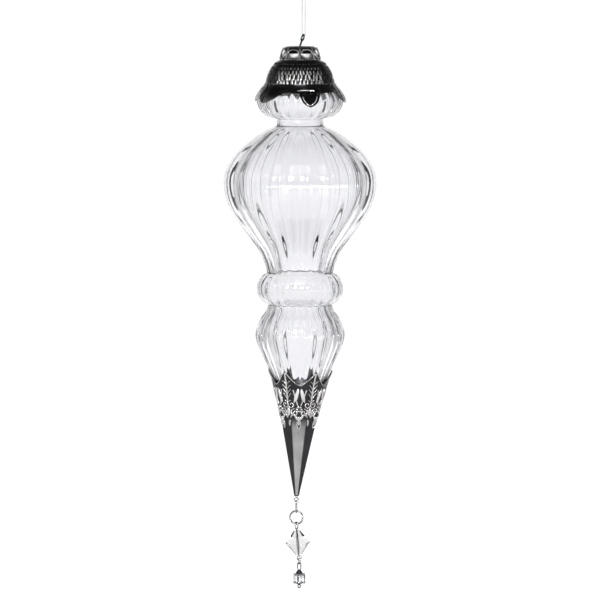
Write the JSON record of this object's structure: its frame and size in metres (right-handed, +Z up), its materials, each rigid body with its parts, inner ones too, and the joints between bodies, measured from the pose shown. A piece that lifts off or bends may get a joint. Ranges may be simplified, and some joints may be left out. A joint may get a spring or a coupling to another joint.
{
  "type": "icicle hanging ornament",
  "caption": "Hanging icicle ornament: fluted clear glass finial with a stamped metal cap, a pierced metal cone, and a swinging faceted bead and stone-set charm.",
  "frame": {"origin": "top of the hanging loop, in the middle of the underside of its knot", "axes": "+Z up along the hanging line, -Y towards the viewer, +X to the viewer's right"},
  "size_m": [0.0832, 0.0832, 0.3239],
  "materials": {
    "clear_nylon": "clear drawn line",
    "dark_stamping": "antique gunmetal plating, worn bright on the raised work",
    "dark_wire": "antique gunmetal plating",
    "chain_silver": "polished silver plating",
    "clear_glass": "clear mouth-blown glass with a faint grey tint",
    "bead_crystal": "clear cut crystal",
    "white_stone": "foil-backed white crystal",
    "adhesive": "set clear adhesive"
  },
  "bodies": {
    "thread_loop": {"thread": "clear_nylon", "thread_knot": "clear_nylon"},
    "hanger": {"hanger_wire": "dark_wire", "hanger_washer": "dark_wire"},
    "ornament": {"crown": "dark_stamping", "cap_dome": "dark_stamping", "leaf_skirt": "dark_stamping", "cap_adhesive": "adhesive", "glass_body": "clear_glass", "cone_adhesive": "adhesive", "cone_cap": "dark_stamping", "tip_eye": "chain_silver"},
    "chain_link": {"tip_link": "chain_silver"},
    "chain_ring": {"jump_ring": "chain_silver"},
    "bead_wire": {"bead_pin": "chain_silver"},
    "bead": {"faceted_bead": "bead_crystal"},
    "charm_hoop": {"charm_ring": "chain_silver"},
    "charm": {"charm_setting": "chain_silver", "charm_stones": "white_stone"}
  },
  "joints": [
    {"name": "hanger_swing", "type": "hinge", "parent": "thread_loop", "child": "hanger", "pos_m": [0, 0, -0.0205], "axis": [0.342, 0.9397, 0], "range_deg": [-60, 60]},
    {"name": "cap_swivel", "type": "hinge", "parent": "hanger", "child": "ornament", "pos_m": [-0.002, 0, -0.034], "axis": [0, 0, 1], "continuous": true},
    {"name": "link_swing", "type": "hinge", "parent": "ornament", "child": "chain_link", "pos_m": [-0.00403, 0, -0.27369], "axis": [1, 0, 0], "range_deg": [-60, 60]},
    {"name": "ring_swing", "type": "hinge", "parent": "chain_link", "child": "chain_ring", "pos_m": [-0.00403, 0, -0.27952], "axis": [0.2588, 0.9659, 0], "range_deg": [-60, 60]},
    {"name": "pin_swing", "type": "hinge", "parent": "chain_ring", "child": "bead_wire", "pos_m": [-0.00403, 0, -0.28572], "axis": [0.9659, -0.2588, 0], "range_deg": [-60, 60]},
    {"name": "bead_spin", "type": "hinge", "parent": "bead_wire", "child": "bead", "pos_m": [-0.00403, 0, -0.28572], "axis": [-0.0785, 0, 0.9969], "continuous": true},
    {"name": "charm_ring_swing", "type": "hinge", "parent": "bead_wire", "child": "charm_hoop", "pos_m": [-0.00248, 0, -0.30537], "axis": [0.9969, 0, 0.0785], "range_deg": [-60, 60]},
    {"name": "charm_swing", "type": "hinge", "parent": "charm_hoop", "child": "charm", "pos_m": [-0.00248, 0, -0.3076], "axis": [0.342, 0.9397, 0], "range_deg": [-60, 60]}
  ]
}
